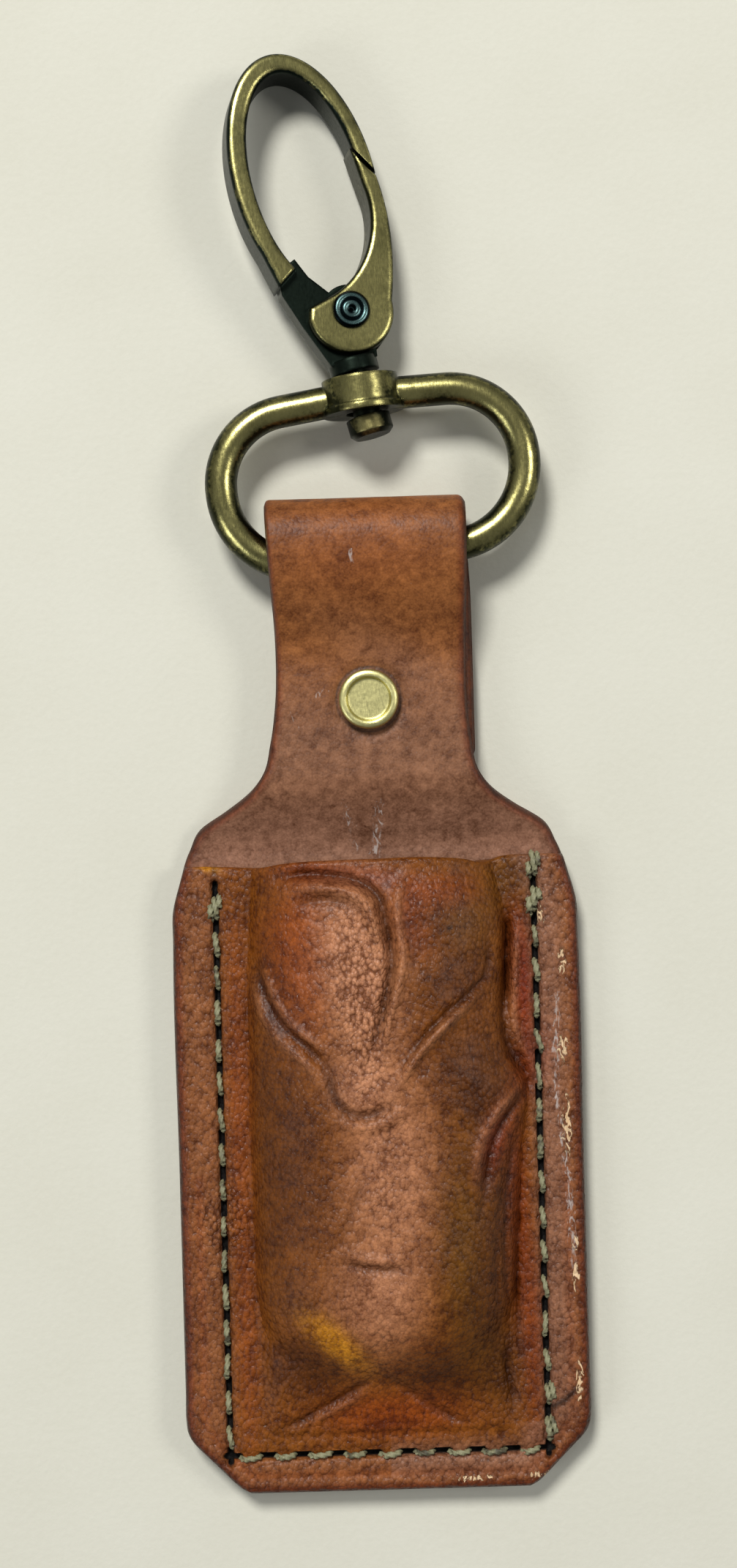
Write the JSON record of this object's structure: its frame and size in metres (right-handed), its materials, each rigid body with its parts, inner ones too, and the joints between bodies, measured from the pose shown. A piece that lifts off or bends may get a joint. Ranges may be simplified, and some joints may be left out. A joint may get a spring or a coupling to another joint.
{
  "type": "leather key fob holster",
  "caption": "Stitched leather pocket holster with a strap folded over a swivel snap hook's ring, for clipping a small pocket tool to a bag or belt.",
  "frame": {"origin": "middle of the pouch's back face", "axes": "+Z out of the pocket's front, +Y along the holster towards the hook, +X to the right seen from the front"},
  "size_m": [0.0478, 0.1694, 0.0122],
  "materials": {
    "back_leather": "waxed smooth, burnished edges",
    "pocket_leather": "wet-moulded, antiqued and burnished",
    "thread": "waxed twisted thread",
    "rivet_brass": "polished, lightly worn",
    "antique_brass": "antiqued with dark patina in the recesses",
    "dark_steel": "blackened",
    "spring_steel": "drawn wire"
  },
  "bodies": {
    "holster": {"back_panel": "back_leather", "pocket_front": "pocket_leather", "stitching_left": "thread", "stitching_bottom": "thread", "stitching_right": "thread", "rivet_cap": "rivet_brass", "rivet_post": "rivet_brass"},
    "ring": {"swivel_ring": "antique_brass"},
    "hook": {"hook_body": "antique_brass", "swivel_pin": "antique_brass", "gate_pivot_rivet": "dark_steel", "gate_spring": "spring_steel"},
    "gate": {"gate_lever": "antique_brass"}
  },
  "joints": [
    {"name": "ring_swing", "type": "hinge", "parent": "holster", "child": "ring", "pos_m": [0.00222, 0.0731, 0.005], "axis": [0.9938, 0.1115, 0], "range_deg": [-140, 150]},
    {"name": "hook_swivel", "type": "hinge", "parent": "ring", "child": "hook", "pos_m": [0.00019, 0.09118, 0.005], "axis": [-0.2452, 0.9691, -0.0262], "continuous": true},
    {"name": "gate_hinge", "type": "hinge", "parent": "hook", "child": "gate", "pos_m": [-0.00121, 0.10072, 0.00456], "axis": [0.1787, 0.0717, 0.9813], "range_deg": [0, 34], "stiffness_Nm_per_rad": 0.03, "springref_deg": -28.65}
  ]
}
